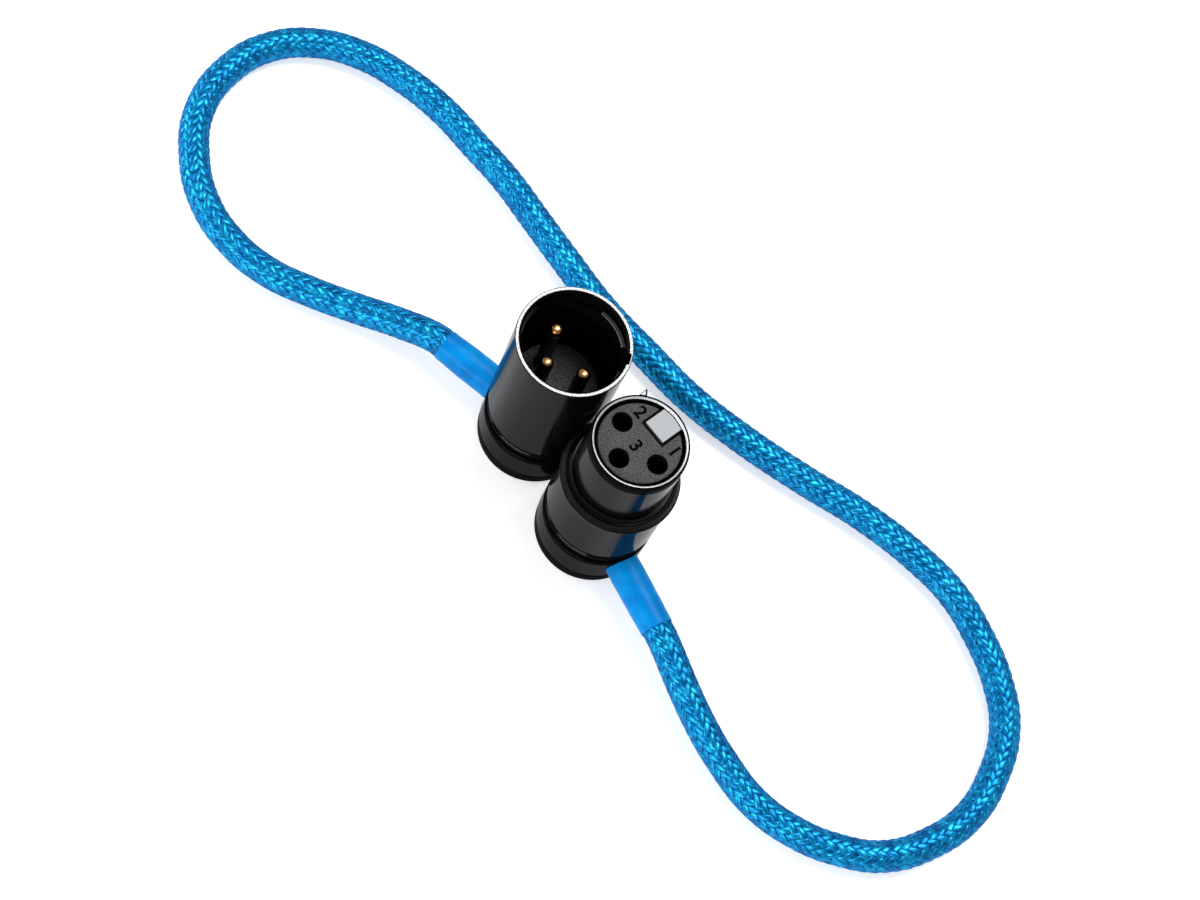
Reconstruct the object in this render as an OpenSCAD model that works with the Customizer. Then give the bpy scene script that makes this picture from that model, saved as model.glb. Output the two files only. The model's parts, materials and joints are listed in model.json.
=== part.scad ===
// Short balanced audio cable: a braided cord between two low-profile,
// right-angle three-pin connectors, one with pins and one with sockets.
// Both connectors stand on their base plates; the cord lies on the same surface.

/* [Layout] */
// Gap between the two connectors
pair_gap = 0.2; // [0.2:0.1:4]
// Angle from +X of the line from the plug connector to the other one
pair_angle = -32; // [-36:0.5:-28]
// Turn of the plug connector's key about its axis
plug_turn = 58; // [40:1:75]
// Turn of the socket connector's key about its axis
jack_turn = 67; // [55:1:80]
// Cable outlet of the plug connector, as an angle from +X
plug_outlet = 170.5; // [166:0.5:175]
// Cable outlet of the socket connector, as an angle from +X
jack_outlet = -34; // [-39:0.5:-30]

/* [Connector bodies] */
// Outside diameter of both bodies
body_d = 19; // [18.6:0.1:19.4]
// Height of the base plate's rim
plate_h = 2.4; // [1.8:0.1:3]
// How much smaller the base plate is than the body, on the radius
plate_inset = 0.1; // [0:0.05:0.3]
// Wall of the cap below the cable outlet
outlet_floor = 0.55; // [0.55:0.05:1]
// Wall of the cap above the cable outlet
outlet_roof = 0.35; // [0.35:0.05:1]
// Height of the grooved stretch between cap and body
neck_h = 3.1; // [2:0.1:4]
// Depth of the grooves on the radius
groove_depth = 0.65; // [0.4:0.05:0.8]
// Height of the lock ring between the two grooves
lock_ring_h = 1; // [0.6:0.1:1.6]
// Length of the cap's spigot inside the body
spigot_h = 4.5; // [3:0.1:6]
// Wall of the cap round the cable clamp
cap_wall = 1.6; // [1.4:0.1:1.8]
// Wall of the cap's spigot
spigot_wall = 1; // [0.8:0.1:1.1]
// Wall of the body round the spigot
body_wall = 1.15; // [1:0.05:1.25]
// Small bevel on every turned outside edge
edge = 0.2; // [0.1:0.05:0.25]

/* [Plug connector] */
// Depth of the socket that takes the mating nose
socket_depth = 16.5; // [15.5:0.1:18]
// Wall of the shell round the socket
socket_wall = 1.3; // [1.15:0.05:1.4]
// Wall of the shell round the lead-in land at the socket's mouth
mouth_wall = 1; // [0.85:0.05:1.05]
// Length of the lead-in land, with its bevel
mouth_h = 3; // [2.6:0.1:3.1]
// Width of the bright rim at the mouth
rim_w = 0.57; // [0.4:0.01:0.7]
// Thickness of the inner lip that holds the insert
lip_h = 1; // [0.8:0.1:1.5]
// How far that lip reaches in from the socket's wall
lip_w = 0.95; // [0.6:0.05:1.1]
// How far the insert's face stands above that lip
face_rise = 0.35; // [0.2:0.05:0.5]
// Thickness of the insert's flange under the lip
plug_flange_h = 3; // [2:0.1:4]
// Angle of the latch window, seen from the axis
window_angle = 46; // [40:1:60]
// Height of the latch window
window_h = 1.9; // [1.6:0.1:2.1]
// Distance from the rim down to the latch window
window_drop = 1; // [0.8:0.05:1.1]
// Angle of the guide groove at its open side, seen from the axis
guide_angle = 20; // [16:0.5:22]
// Angle of the guide groove's floor, seen from the axis
guide_floor_angle = 12; // [10:0.5:14]
// Thickness of the wall left outside the guide groove and the latch window
skin = 0.25; // [0.2:0.05:0.4]

/* [Contacts] */
// How far in from the edge of the insert's face the three contacts stand
contact_inset = 2.43; // [2.4:0.01:2.6]
// Diameter of a pin
pin_d = 2.4; // [2.3:0.01:2.5]
// Rounding of a pin's tip
pin_round = 1.1; // [0.7:0.05:1.15]
// How much thicker a pin is inside the insert, on the radius
pin_step = 0.2; // [0.15:0.05:0.25]
// How far below the rim the pins end
pin_drop = 3.2; // [3:0.1:5]
// Bore of a socket contact
contact_bore_d = 2.5; // [2.48:0.01:2.6]
// Outside diameter of a socket contact
contact_d = 3.24; // [3.1:0.01:3.4]
// Depth of a socket contact's bore
contact_bore_depth = 10.7; // [9.5:0.1:11.5]
// How far a socket contact lies below the insert's face
contact_drop = 3.5; // [3:0.1:4]
// Diameter of a contact's solder tail
tail_d = 2; // [1.8:0.05:2.1]
// Length of the solder tail below the insert
tail_l = 3.8; // [3:0.1:4.2]

/* [Socket connector] */
// Height of the lower body above the grooves
jack_body_h = 12.1; // [11.5:0.1:14]
// Step from the body in to the nose, on the radius
nose_step = 1.5; // [1.45:0.01:1.55]
// Wall of the nose
nose_wall = 0.87; // [0.8:0.01:0.95]
// Height of the nose's front above the lower body
nose_h = 15.1; // [14.5:0.1:16]
// How far the nose's front edge curves in, on the radius
nose_round = 0.4; // [0.3:0.05:0.45]
// Height of that curve
nose_round_h = 1.4; // [0.8:0.1:1.8]
// Bright bevel inside the nose's front, as wide as it is deep
nose_bevel = 0.4; // [0.2:0.05:0.4]
// Thickness of the nose's flange inside the body
nose_flange_h = 1.2; // [1:0.1:1.6]
// How far the shoulder ring's lip stands out of the body
shoulder_out = 0.4; // [0.2:0.05:0.45]
// Height of the shoulder ring above the body
shoulder_h = 2.6; // [2.3:0.1:2.8]
// Thickness of the insert's flange
jack_flange_h = 4; // [3.8:0.1:5]
// How far the insert's face lies below the nose's front
face_drop = 0.75; // [0.5:0.05:1.2]
// Gap round the insert's face
face_gap = 0.4; // [0.3:0.05:0.45]
// How far the guide rib stands out of the nose
rib_out = 1.1; // [0.8:0.05:1.15]
// Distance from the nose's front back to the guide rib
rib_drop = 0.6; // [0.4:0.1:1.2]

/* [Latch] */
// Width of the keyway in the insert
keyway_w = 4.5; // [4.4:0.1:4.8]
// Distance of the keyway's floor from the axis
keyway_x = 2.65; // [2.55:0.05:2.8]
// Thickness of the key plate at the face
key_plate_h = 0.9; // [0.6:0.1:1.2]
// How far the key plate stands above the insert's face
key_plate_rise = 0.3; // [0:0.05:0.3]
// Gap round the key plate
key_plate_gap = 0.2; // [0.1:0.05:0.3]
// Thickness of the latch blade
blade_t = 0.7; // [0.5:0.05:0.8]
// Gap between the blade and the nose's bore
blade_gap = 0.43; // [0.35:0.01:0.5]
// Width of the latch blade
blade_w = 3.6; // [3:0.1:3.7]
// How far the hook stands out of the nose
hook_out = 0.75; // [0.5:0.05:0.8]
// Height of the hook
hook_h = 1.6; // [1.2:0.1:1.8]
// How far the button stands out of the body
button_out = 0.9; // [0.7:0.1:1.2]
// Width of the button
button_w = 4.1; // [3.6:0.1:4.2]
// Height of the button
button_h = 2.6; // [2.2:0.1:2.8]
// Inward travel of the latch
latch_travel = 0.9; // [0.8:0.05:0.95]

/* [Base hardware] */
// Screws that hold each base plate, as angles from the cable outlet
plate_screw_angles = [85, 180, 275];
// How far in from the cap's bore those screws stand
plate_screw_inset = 1.3; // [1.3:0.05:1.5]
// Diameter of their heads
plate_screw_head_d = 2.8; // [2.4:0.1:2.9]
// Diameter of their shanks
plate_screw_d = 1.6; // [1.4:0.1:1.7]
// Length of their shanks
plate_screw_l = 6.5; // [5:0.5:7]
// Depth of their heads' rims
plate_screw_rim = 0.4; // [0.3:0.05:0.5]
// How far the heads lie below the plate's underside
plate_screw_drop = 0.15; // [0.1:0.05:0.2]
// Width of the screws' slots
slot_w = 0.3; // [0.25:0.05:0.4]
// Depth of the screws' slots
slot_depth = 0.35; // [0.25:0.05:0.4]
// Diameter of the bosses that they turn into
boss_d = 3; // [2.8:0.1:3.1]
// How far in from the cap's bore the cable clamp stands
clamp_inset = 3.4; // [3.3:0.1:3.6]
// Width of the cable clamp along the cable
clamp_w = 2.4; // [2:0.1:2.5]
// Gap between the cable's jacket and the posts under the clamp
post_gap = 0.3; // [0.25:0.05:0.35]
// Diameter of the posts under the clamp
post_d = 2.3; // [2:0.1:2.3]
// Diameter of the clamp screws
clamp_screw_d = 1.2; // [1:0.1:1.2]
// Diameter of the clamp screws' heads
clamp_head_d = 2.2; // [1.8:0.1:2.3]
// Height of the clamp screws' heads
clamp_head_h = 0.7; // [0.5:0.1:0.9]

/* [Cable] */
// Diameter of the braided cord
cable_d = 5.4; // [5:0.1:5.6]
// Thickness of the braid over the cable's jacket
braid_t = 0.3; // [0.25:0.05:0.4]
// Wall of the outlet sleeves
sleeve_wall = 0.5; // [0.4:0.05:0.5]
// Distance from the plug's axis to its sleeve's outer end
plug_sleeve_reach = 20; // [18:0.5:21]
// Distance from the socket connector's axis to its sleeve's outer end
jack_sleeve_reach = 21.5; // [19:0.5:22.5]
// Diameter of an inner lead with its insulation
lead_d = 0.9; // [0.7:0.05:1]

/* [Hidden] */
$fn = 48;

slip = 0.05;      // clearance between turned parts that slide together
fine_slip = 0.03; // clearance round contacts and screws
over = 0.5;       // how far a cutter runs past the face that it cuts

body_r = body_d / 2;
neck_r = body_r - groove_depth;
body_bore_r = body_r - body_wall;
spigot_r = body_bore_r - slip;
spigot_bore_r = spigot_r - spigot_wall;
cap_bore_r = body_r - cap_wall;
plate_r = body_r - plate_inset;
plate_spigot_h = 0.5;

// Cable and what holds it, along +X from the axis
jacket_d = cable_d - 2 * braid_t;
sleeve_d = jacket_d + 2 * (slip + sleeve_wall);
outlet_z = plate_h + outlet_floor + sleeve_d / 2;
plate_screw_r = cap_bore_r - plate_screw_inset;
clamp_x = cap_bore_r - clamp_inset;
clamp_screw_y = jacket_d / 2 + post_gap + post_d / 2;
jacket_end_x = clamp_x - clamp_w / 2 - 1.7;
sleeve_in_x = clamp_x + clamp_w / 2 + 0.9;

// Heights, from the surface up
cap_h = outlet_floor + sleeve_d + outlet_roof;
cap_z = plate_h;
neck_z = cap_z + cap_h;
body_z = neck_z + neck_h;
seat_z = body_z + spigot_h;
tail_z = seat_z - tail_l;
post_z = outlet_z - 0.1;
clamp_z = neck_z - 0.1;

// Plug connector
plug_lip_z = seat_z + plug_flange_h;
plug_face_z = plug_lip_z + lip_h;
plug_rim_z = plug_face_z + socket_depth;
window_z = plug_rim_z - window_drop - window_h;
socket_r = body_r - socket_wall;
mouth_r = body_r - mouth_wall;
lip_r = socket_r - lip_w;
mouth_bevel = mouth_wall - rim_w;
guide_out_r = body_r - skin;
key_to_guide = 45;

// Socket connector
jack_nose_z = seat_z + jack_flange_h;
jack_flange_top_z = jack_nose_z + nose_flange_h;
jack_top_z = body_z + jack_body_h;
front_z = jack_top_z + nose_h;
face_z = front_z - face_drop;
nose_r = body_r - nose_step;
nose_bore_r = nose_r - nose_wall;
face_r = nose_bore_r - face_gap;
contact_r = face_r - contact_inset;
shoulder_r = body_r + shoulder_out;
counterbore_r = body_r - 0.55;
nose_flange_r = counterbore_r - slip;
shoulder_top_z = jack_top_z + shoulder_h;
contact_top_z = face_z - contact_drop;
contact_seat_z = contact_top_z - contact_bore_depth - 1.5;

// Latch, in the socket connector
button_z = seat_z + 0.8;
blade_top_z = shoulder_top_z + 3.2;
hook_z = shoulder_top_z + 0.9;
blade_out_x = nose_bore_r - blade_gap;
blade_x = blade_out_x - blade_t;
spring_r = 1.1;
spring_wire_d = 0.3;
spring_turns = 3;

// Pin positions, as angles from the key; the two connectors mirror each other
plug_angles = [90, -90, 180];
jack_angles = [-90, 90, 180];
// Lane that each lead leaves the cable in, so that the three never cross
plug_lanes = [-1, 0, 1];
jack_lanes = [1, 0, -1];

axis_distance = body_r + pair_gap + shoulder_r;

// Route of the cord on the surface, from the plug's sleeve to the other one
cord_z = cable_d / 2;
cord_route = [
    [-36.5, 8.5, 4.6], [-44.5, 7.5, 3.1], [-52.5, 6.2, cord_z], [-60.5, 5.5, cord_z],
    [-68.5, 7, cord_z], [-76, 11, cord_z], [-82, 17.5, cord_z], [-86, 26, cord_z],
    [-86, 35.5, cord_z], [-82.5, 43.5, cord_z], [-76, 49, cord_z], [-68, 51.5, cord_z],
    [-59.5, 51.5, cord_z], [-51, 50, cord_z], [-42.5, 47, cord_z], [-34.5, 44, cord_z],
    [-26.5, 40, cord_z], [-18.5, 36, cord_z], [-8, 31, cord_z], [2.5, 27.5, cord_z],
    [12, 24.5, cord_z], [24, 22.5, cord_z], [36.5, 21.5, cord_z], [49, 21, cord_z],
    [61, 19, cord_z], [68.5, 16.5, cord_z], [75.5, 12, cord_z], [81.5, 6.5, cord_z],
    [86, -0.5, cord_z], [87.5, -9, cord_z], [86.5, -17.5, cord_z], [82.5, -25, cord_z],
    [76.5, -31, cord_z], [69, -34, cord_z], [61.5, -35, cord_z], [53.5, -34, cord_z],
    [46.3, -31, 3.2], [39.5, -27.3, 4.5]];
cord_sides = 12;
straight_out = 1.5;

// ---------- helpers ----------

function along(angle, r) = [r * cos(angle), r * sin(angle)];
jack_at = along(pair_angle, axis_distance / 2);
plug_at = -jack_at;
function unit(v) = v / norm(v);
function arc(cx, cy, r, from, to, steps) =
    [for (i = [0 : steps]) [cx + r * cos(from + (to - from) * i / steps),
                            cy + r * sin(from + (to - from) * i / steps)]];

// Points along a smooth curve that leaves a towards b and reaches d from c
function curve(a, b, c, d, steps) =
    [for (i = [0 : steps]) let (t = i / steps, u = 1 - t)
        u * u * u * a + 3 * u * u * t * b + 3 * u * t * t * c + t * t * t * d];

// Closed tube through a list of points; each ring stands square to the path
module swept_tube(points, d, sides, up) {
    last = len(points) - 1;
    rings = [for (i = [0 : last])
        let (t = unit(points[min(i + 1, last)] - points[max(i - 1, 0)]),
             u = unit(cross(t, up)),
             v = cross(u, t))
        for (k = [0 : sides - 1])
            points[i] + d / 2 * (cos(360 * k / sides) * u + sin(360 * k / sides) * v)];
    walls = [for (i = [0 : last - 1], k = [0 : sides - 1])
        [i * sides + k, i * sides + (k + 1) % sides,
         (i + 1) * sides + (k + 1) % sides, (i + 1) * sides + k]];
    first_end = [for (k = [sides - 1 : -1 : 0]) k];
    far_end = [for (k = [0 : sides - 1]) last * sides + k];
    polyhedron(points = rings, faces = concat([first_end], walls, [far_end]), convexity = 6);
}

module turned(profile) {
    rotate_extrude() polygon(profile);
}

module tube(r_out, r_in, h) {
    difference() {
        cylinder(r = r_out, h = h);
        translate([0, 0, -over]) cylinder(r = r_in, h = h + 2 * over);
    }
}

// Round bar along the outlet's axis, which runs along +X
module outlet_rod(from, to, d) {
    translate([from, 0, outlet_z]) rotate([0, 90, 0]) cylinder(d = d, h = to - from);
}

module plug_frame(turn) {
    translate(plug_at) rotate(turn) children();
}

module jack_frame(turn) {
    translate(jack_at) rotate(turn) children();
}

// Sector of a ring, centred on +X
module sector(r_in, r_out, angle, h) {
    rotate([0, 0, -angle / 2]) rotate_extrude(angle = angle)
        translate([r_in, 0]) square([r_out - r_in, h]);
}

// ---------- base, the same in both connectors; +X is the cable outlet ----------

module cap_solid() {
    color("#17181b") difference() {
        union() {
            turned([[cap_bore_r, cap_z], [body_r - edge, cap_z], [body_r, cap_z + edge],
                [body_r, neck_z - edge], [body_r - edge, neck_z], [neck_r, neck_z],
                [neck_r, body_z], [spigot_r, body_z], [spigot_r, seat_z],
                [spigot_bore_r, seat_z], [spigot_bore_r, neck_z],
                [cap_bore_r, neck_z]]);
            intersection() {
                for (a = plate_screw_angles) rotate(a) translate([plate_screw_r, 0, cap_z + plate_spigot_h])
                    cylinder(d = boss_d, h = cap_h - plate_spigot_h);
                cylinder(r = (cap_bore_r + body_r) / 2, h = neck_z);
            }
        }
        outlet_rod(sleeve_in_x, body_r + over, sleeve_d + 2 * slip);
        for (a = plate_screw_angles) rotate(a) translate([plate_screw_r, 0, 0])
            cylinder(d = plate_screw_d + 2 * fine_slip, h = plate_screw_l + 1.2);
    }
}

module base_plate_solid() {
    round_r = 0.5;
    bevel = 0.35;
    sink_r = plate_screw_head_d / 2 + fine_slip;
    color("#101113") difference() {
        union() {
            turned(concat([[0, 0]], arc(plate_r - round_r, round_r, round_r, -90, 0, 4),
                [[plate_r, cap_z - bevel], [plate_r - bevel, cap_z], [cap_bore_r - slip, cap_z],
                 [cap_bore_r - slip, cap_z + plate_spigot_h], [0, cap_z + plate_spigot_h]]));
            for (s = [-1, 1]) translate([clamp_x, s * clamp_screw_y, cap_z])
                cylinder(d = post_d, h = post_z - cap_z);
        }
        for (a = plate_screw_angles) rotate(a) translate([plate_screw_r, 0, 0]) {
            translate([0, 0, -over]) cylinder(d = plate_screw_d + 2 * fine_slip, h = cap_z + over + 1);
            turned([[0, -over], [sink_r, -over], [sink_r, plate_screw_rim],
                [plate_screw_d / 2, plate_screw_rim + sink_r - plate_screw_d / 2],
                [0, plate_screw_rim + sink_r - plate_screw_d / 2]]);
        }
        for (s = [-1, 1]) translate([clamp_x, s * clamp_screw_y, cap_z])
            cylinder(d = clamp_screw_d + 2 * fine_slip, h = post_z);
    }
}

module plate_screws_solid() {
    head_r = plate_screw_head_d / 2;
    shank_z = plate_screw_rim + head_r - plate_screw_d / 2;
    color("#2a2b2e") for (a = plate_screw_angles) rotate(a) translate([plate_screw_r, 0, 0]) difference() {
        turned([[0, plate_screw_drop], [head_r, plate_screw_drop], [head_r, plate_screw_rim],
            [plate_screw_d / 2, shank_z], [plate_screw_d / 2, shank_z + plate_screw_l],
            [0, shank_z + plate_screw_l]]);
        translate([0, 0, plate_screw_drop + slot_depth - over]) for (t = [0, 90]) rotate(t)
            translate([-head_r * 0.6, -slot_w / 2, -over]) cube([head_r * 1.2, slot_w, 2 * over]);
    }
}

module clamp_solid() {
    bar_y = clamp_screw_y + post_d / 2;
    color("#b9bbbe") difference() {
        intersection() {
            translate([clamp_x - clamp_w / 2, -bar_y, post_z]) cube([clamp_w, 2 * bar_y, clamp_z - post_z]);
            cylinder(r = cap_bore_r - slip, h = clamp_z + over);
        }
        outlet_rod(0, body_r, jacket_d + 2 * fine_slip);
        for (s = [-1, 1]) translate([clamp_x, s * clamp_screw_y, cap_z])
            cylinder(d = clamp_screw_d + 2 * fine_slip, h = clamp_z);
    }
}

module clamp_screws_solid() {
    tip_z = cap_z + 0.3;
    color("#c9cacc") for (s = [-1, 1]) translate([clamp_x, s * clamp_screw_y, 0]) {
        translate([0, 0, tip_z]) cylinder(d = clamp_screw_d, h = clamp_z - tip_z);
        translate([0, 0, clamp_z]) difference() {
            cylinder(d = clamp_head_d, h = clamp_head_h);
            translate([-clamp_head_d, -slot_w / 2, clamp_head_h - slot_depth])
                cube([2 * clamp_head_d, slot_w, over]);
        }
    }
}

module lock_ring_solid() {
    h0 = neck_z + (neck_h - lock_ring_h) / 2;
    in_r = neck_r + slip;
    out_r = body_r - 0.1;
    bevel = 0.25;
    color("#202124") turned([[in_r, h0], [out_r - bevel, h0], [out_r, h0 + bevel],
        [out_r, h0 + lock_ring_h - bevel], [out_r - bevel, h0 + lock_ring_h], [in_r, h0 + lock_ring_h]]);
}

module cable_tail_solid(reach) {
    color("#1d6fa8") outlet_rod(jacket_end_x, reach, jacket_d);
}

module sleeve_solid(reach) {
    color("#0b96e8") difference() {
        outlet_rod(sleeve_in_x, reach, sleeve_d);
        outlet_rod(sleeve_in_x - over, reach + over, jacket_d + 2 * slip);
    }
}

// One lead from the cable's end, up past the clamp and over to a solder tail
module lead_solid(lane, tail_angle) {
    tail = along(tail_angle, contact_r);
    lane_y = (lead_d + 0.2) * lane;
    turn_r = lead_d * 1.1;
    rise_x = jacket_end_x - turn_r - 0.4;
    rise_z = clamp_z + 0.4;
    end_z = tail_z - lead_d / 3;
    sweep = end_z - rise_z;
    start = [jacket_end_x, lane_y, outlet_z];
    bend = [for (p = arc(rise_x + turn_r, outlet_z + turn_r, turn_r, 270, 180, 4)) [p.x, lane_y, p.y]];
    top = curve([rise_x, lane_y, rise_z], [rise_x, lane_y, rise_z + sweep / 2],
        [tail.x, tail.y, end_z - sweep / 2], [tail.x, tail.y, end_z], 8);
    swept_tube(concat([start], bend, top, [[tail.x, tail.y, tail_z]]), lead_d, 8, [0, 1, 0]);
}

module leads_solid(lanes, angles) {
    colours = ["#c8c8c8", "#c23b2e", "#e8e6df"];
    for (i = [0 : 2]) color(colours[i]) lead_solid(lanes[i], angles[i]);
}

// ---------- plug connector; +X is the key ----------

module male_shell() {
    lip_top_z = plug_face_z - face_rise;
    foot = 0.35;
    color("#0f1012") plug_frame(plug_turn) difference() {
        turned([[body_bore_r, body_z], [body_r - edge, body_z], [body_r, body_z + edge],
            [body_r, plug_rim_z - edge], [body_r - edge / 4, plug_rim_z],
            [body_r - rim_w, plug_rim_z], [mouth_r, plug_rim_z - mouth_bevel],
            [mouth_r, plug_rim_z - mouth_h], [socket_r, plug_rim_z - mouth_h],
            [socket_r, lip_top_z + foot], [socket_r - foot, lip_top_z], [lip_r, lip_top_z],
            [lip_r, plug_lip_z],
            [body_bore_r, plug_lip_z]]);
        translate([0, 0, window_z]) sector(socket_r - over, guide_out_r, window_angle, window_h);
        rotate(-key_to_guide) translate([0, 0, plug_face_z + 3]) linear_extrude(socket_depth)
            polygon([along(-guide_angle / 2, socket_r - over),
                along(-guide_floor_angle / 2, guide_out_r), along(0, guide_out_r),
                along(guide_floor_angle / 2, guide_out_r), along(guide_angle / 2, socket_r - over)]);
    }
}

module male_insert() {
    color("#26272a") plug_frame(plug_turn) difference() {
        union() {
            translate([0, 0, seat_z]) cylinder(r = body_bore_r - slip, h = plug_flange_h);
            turned([[0, seat_z], [lip_r - slip, seat_z], [lip_r - slip, plug_face_z - edge],
                [lip_r - slip - edge, plug_face_z], [0, plug_face_z]]);
        }
        for (a = plug_angles) translate(concat(along(a, contact_r), seat_z - over))
            cylinder(d = pin_d + 2 * pin_step + 2 * fine_slip, h = plug_face_z - seat_z + 2 * over);
    }
}

module male_pin(i) {
    top_z = plug_rim_z - pin_drop;
    pin_r = pin_d / 2;
    collar_r = pin_r + pin_step + 0.3;
    color("#d9a441") plug_frame(plug_turn) translate(along(plug_angles[i], contact_r))
        turned(concat([[0, tail_z], [tail_d / 2, tail_z], [tail_d / 2, seat_z - 0.8],
            [collar_r, seat_z - 0.8], [collar_r, seat_z], [pin_r + pin_step, seat_z],
            [pin_r + pin_step, plug_face_z], [pin_r, plug_face_z]],
            arc(pin_r - pin_round, top_z - pin_round, pin_round, 0, 90, 5), [[0, top_z]]));
}

module male_lock_ring() { plug_frame(0) lock_ring_solid(); }
module male_cap() { plug_frame(plug_outlet) cap_solid(); }
module male_base_plate() { plug_frame(plug_outlet) base_plate_solid(); }
module male_plate_screws() { plug_frame(plug_outlet) plate_screws_solid(); }
module male_clamp() { plug_frame(plug_outlet) clamp_solid(); }
module male_clamp_screws() { plug_frame(plug_outlet) clamp_screws_solid(); }
module male_cable_tail() { plug_frame(plug_outlet) cable_tail_solid(plug_sleeve_reach); }
module male_sleeve() { plug_frame(plug_outlet) sleeve_solid(plug_sleeve_reach); }
module male_leads() {
    plug_frame(plug_outlet)
        leads_solid(plug_lanes, [for (a = plug_angles) a + plug_turn - plug_outlet]);
}

// ---------- socket connector; +X is the key ----------

module button_window(gap) {
    translate([body_bore_r / 2, -button_w / 2 - gap, button_z - gap])
        cube([body_d, button_w + 2 * gap, button_h + 2 * gap]);
}

module female_body() {
    color("#0f1012") jack_frame(jack_turn) difference() {
        turned([[body_bore_r, body_z], [body_r - edge, body_z], [body_r, body_z + edge],
            [body_r, jack_top_z], [counterbore_r, jack_top_z], [counterbore_r, jack_nose_z],
            [body_bore_r, jack_nose_z]]);
        button_window(0.25);
    }
}

module female_shoulder_ring() {
    neck_out_r = counterbore_r - slip;
    bore_r = nose_r + slip;
    lip_top_z = jack_top_z + 0.6;
    slope_r = neck_out_r + 0.3;
    slope_z = jack_top_z + 0.65 * shoulder_h;
    step = 0.15;
    cove_r = shoulder_top_z - slope_z - step;
    color("#1b1c1f") jack_frame(jack_turn)
        turned(concat([[bore_r, jack_flange_top_z], [neck_out_r, jack_flange_top_z],
            [neck_out_r, jack_top_z], [body_r + edge / 4, jack_top_z], [shoulder_r, jack_top_z + edge],
            [shoulder_r, lip_top_z - edge], [shoulder_r - edge, lip_top_z],
            [slope_r, slope_z], [slope_r - step, slope_z]],
            arc(slope_r - step, shoulder_top_z, cove_r, 270, 180, 4), [[bore_r, shoulder_top_z]]));
}

module female_nose() {
    color("#0f1012") jack_frame(jack_turn) difference() {
        union() {
            turned(concat([[nose_bore_r, jack_nose_z], [nose_flange_r, jack_nose_z],
                [nose_flange_r, jack_flange_top_z], [nose_r, jack_flange_top_z]],
                [for (a = [0 : 15 : 75]) [nose_r - nose_round + nose_round * cos(a),
                                          front_z - nose_round_h + nose_round_h * sin(a)]],
                [[nose_bore_r + nose_bevel, front_z], [nose_bore_r, front_z - nose_bevel]]));
            rotate(key_to_guide) translate([0, 0, shoulder_top_z])
                linear_extrude(front_z - rib_drop - shoulder_top_z)
                    polygon([along(6, nose_r - 0.3), along(6, nose_r), along(-1, nose_r + rib_out),
                        along(-2.5, nose_r + rib_out), along(-3, nose_r), along(-3, nose_r - 0.3)]);
        }
        translate([nose_bore_r - 1, -blade_w / 2 - 0.15, hook_z - 0.35])
            cube([3, blade_w + 0.3, hook_h + 0.9]);
    }
}

module female_insert() {
    wide_top_z = face_z - 2.2;
    shelf_w = 0.4;
    plate_z = face_z + key_plate_rise - key_plate_h;
    color("#2b2c2f") jack_frame(jack_turn) difference() {
        union() {
            translate([0, 0, seat_z]) cylinder(r = body_bore_r - slip, h = jack_flange_h);
            translate([0, 0, seat_z]) cylinder(r = nose_bore_r - slip, h = wide_top_z - seat_z);
            translate([0, 0, seat_z]) turned([[0, 0], [face_r, 0],
                [face_r, face_z - seat_z - 0.15],
                [face_r - 0.15, face_z - seat_z], [0, face_z - seat_z]]);
        }
        for (a = jack_angles) translate(along(a, contact_r)) {
            translate([0, 0, contact_seat_z]) cylinder(d = contact_d + 2 * fine_slip, h = front_z);
            translate([0, 0, seat_z - over]) cylinder(d = tail_d + 2 * fine_slip, h = contact_seat_z);
            translate([0, 0, face_z - 0.15]) cylinder(d1 = contact_d, d2 = contact_d + 0.6, h = 0.3);
        }
        difference() {
            translate([keyway_x, -keyway_w / 2, seat_z - over]) cube([body_r, keyway_w, face_z]);
            for (s = [-1, 1]) translate([keyway_x - over, s * keyway_w / 2 - shelf_w, plate_z - 1])
                cube([blade_x - latch_travel - keyway_x + over - 0.3, 2 * shelf_w, 1]);
        }
    }
}

module female_contact(i) {
    color("#d9a441") jack_frame(jack_turn) translate(along(jack_angles[i], contact_r))
        difference() {
            turned([[0, tail_z], [tail_d / 2, tail_z], [tail_d / 2, contact_seat_z],
                [contact_d / 2, contact_seat_z], [contact_d / 2, contact_top_z], [0, contact_top_z]]);
            translate([0, 0, contact_top_z - contact_bore_depth])
                cylinder(d = contact_bore_d, h = contact_bore_depth + over);
        }
}

module female_key_plate() {
    top_z = face_z + key_plate_rise;
    bevel = 0.15;
    in_x = keyway_x + key_plate_gap + 0.05;
    out_r = nose_bore_r - slip;
    half_w = keyway_w / 2 - key_plate_gap;
    color("#d6d8da") jack_frame(jack_turn) intersection() {
        translate([in_x, -half_w, top_z - key_plate_h]) cube([body_r, 2 * half_w, key_plate_h]);
        turned([[0, top_z - key_plate_h], [out_r, top_z - key_plate_h], [out_r, top_z - bevel],
            [out_r - bevel, top_z], [0, top_z]]);
    }
}

module female_latch() {
    low_z = button_z - 0.1;
    hook_r = nose_r + hook_out;
    color("#c4c6c9") jack_frame(jack_turn) union() {
        translate([blade_x, -blade_w / 2, low_z]) cube([blade_t, blade_w, blade_top_z - low_z]);
        translate([0, blade_w / 2 - 0.15, 0]) rotate([90, 0, 0]) linear_extrude(blade_w - 0.3)
            polygon([[blade_x, hook_z], [hook_r, hook_z + 0.2], [hook_r, hook_z + hook_h / 2],
                [blade_x, hook_z + hook_h + 0.3]]);
    }
}

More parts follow.
